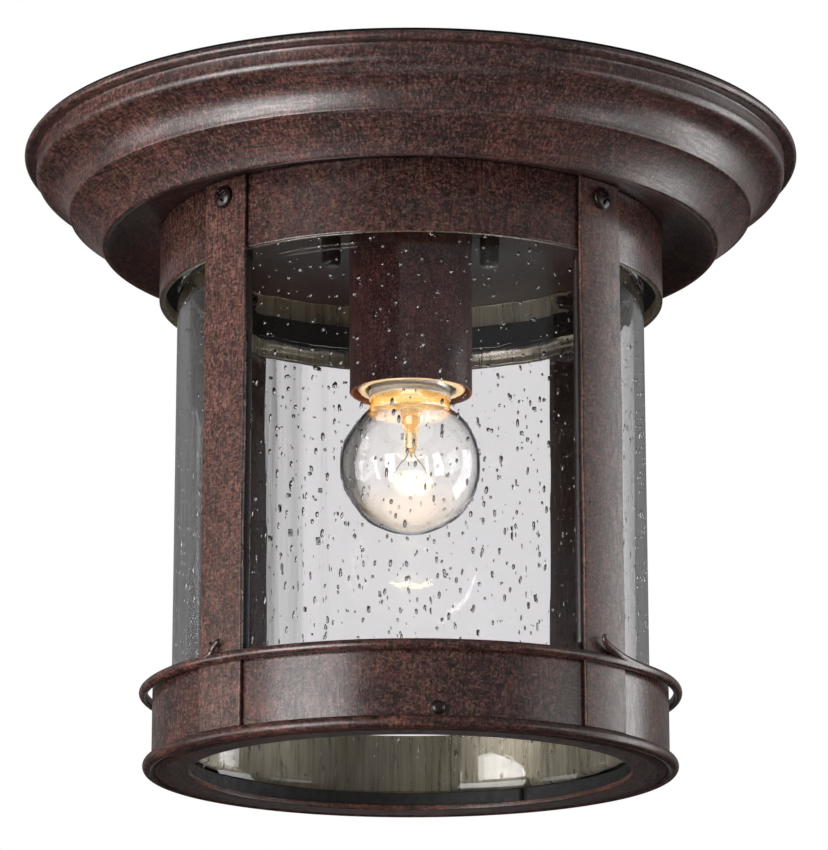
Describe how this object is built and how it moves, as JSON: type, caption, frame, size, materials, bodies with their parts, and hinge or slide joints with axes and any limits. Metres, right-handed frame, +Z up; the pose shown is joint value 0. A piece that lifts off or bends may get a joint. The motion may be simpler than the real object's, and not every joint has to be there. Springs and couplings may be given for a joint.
{
  "type": "flush mount lantern",
  "caption": "Outdoor flush mount ceiling lantern: stepped round canopy, strap cage around a seeded glass cylinder, and a screw-in globe lamp under a sleeved socket.",
  "frame": {"origin": "centre of the mounting plate's top face, on the ceiling plane and the lantern's axis", "axes": "+Z points up into the ceiling along the lantern's axis; +X points to the right as seen by a viewer who looks along +Y, so -Y is the front; the four straps stand at 45, 135, 225 and 315 degrees"},
  "size_m": [0.248, 0.248, 0.2004],
  "materials": {
    "bronze_canopy": "antique bronze lacquer, hand brushed, semi-gloss",
    "bronze_cage": "antique bronze lacquer, hand brushed, semi-gloss",
    "dark_hardware": "dark bronze lacquer, satin",
    "zinc_steel": "zinc plated, dull",
    "green_screw": "green, satin",
    "foam": "matt closed-cell foam",
    "black_rubber": "matt",
    "seeded_glass": "clear with seeds, polished",
    "lamp_glass": "clear, polished",
    "glazed_porcelain": "glazed white",
    "socket_brass": "plain, slightly dull",
    "black_insulation": "matt",
    "white_insulation": "matt",
    "green_insulation": "matt",
    "connector_orange": "satin",
    "lamp_aluminium": "bright rolled sheet",
    "lamp_insulator": "black glass, glossy",
    "solder": "dull solder",
    "tungsten": "matt wire"
  },
  "bodies": {
    "fixture": {"rim_gasket": "foam", "canopy": "bronze_canopy", "mounting_plate": "zinc_steel", "plate_studs": "zinc_steel", "stud_locknuts": "zinc_steel", "cap_nuts": "dark_hardware", "ground_screw": "green_screw", "top_band": "bronze_cage", "cage_screws": "zinc_steel", "cage_nuts": "zinc_steel", "strap_front_right": "bronze_cage", "strap_back_right": "bronze_cage", "strap_back_left": "bronze_cage", "strap_front_left": "bronze_cage", "strap_screws": "dark_hardware", "strap_nuts": "dark_hardware", "lower_band": "bronze_cage", "hoop": "bronze_cage", "hoop_curls": "dark_hardware", "base_ring": "bronze_cage", "base_rivets": "dark_hardware", "strip_gasket": "black_rubber", "upper_strip": "foam", "glass_cylinder": "seeded_glass", "socket_sleeve": "bronze_cage", "nipple": "socket_brass", "nipple_locknuts": "zinc_steel", "socket_cap": "zinc_steel", "socket_body": "glazed_porcelain", "screw_shell": "socket_brass", "hot_lead": "black_insulation", "neutral_lead": "white_insulation", "ground_lead": "green_insulation", "wire_connectors": "connector_orange"},
    "contact": {"centre_contact": "socket_brass"},
    "lamp_core": {"lamp_insulator": "lamp_insulator", "lamp_tip": "solder"},
    "lamp": {"lamp_globe": "lamp_glass", "lamp_base": "lamp_aluminium", "lamp_stem": "lamp_glass", "lamp_filament": "tungsten"}
  },
  "joints": [
    {"name": "lamp_travel", "type": "slide", "parent": "fixture", "child": "lamp_core", "axis": [0, 0, -1], "range_m": [0, 0.0127]},
    {"name": "lamp_turn", "type": "hinge", "parent": "lamp_core", "child": "lamp", "pos_m": [0, 0, -0.08], "axis": [0, 0, -1], "range_deg": [0, 1260]},
    {"name": "contact_press", "type": "slide", "parent": "fixture", "child": "contact", "axis": [0, 0, 1], "range_m": [0, 0.0012], "stiffness_N_per_m": 600}
  ],
  "couplings": [
    {"joint": "lamp_turn", "follows": "lamp_travel", "rad_per_m": 1731.4}
  ]
}
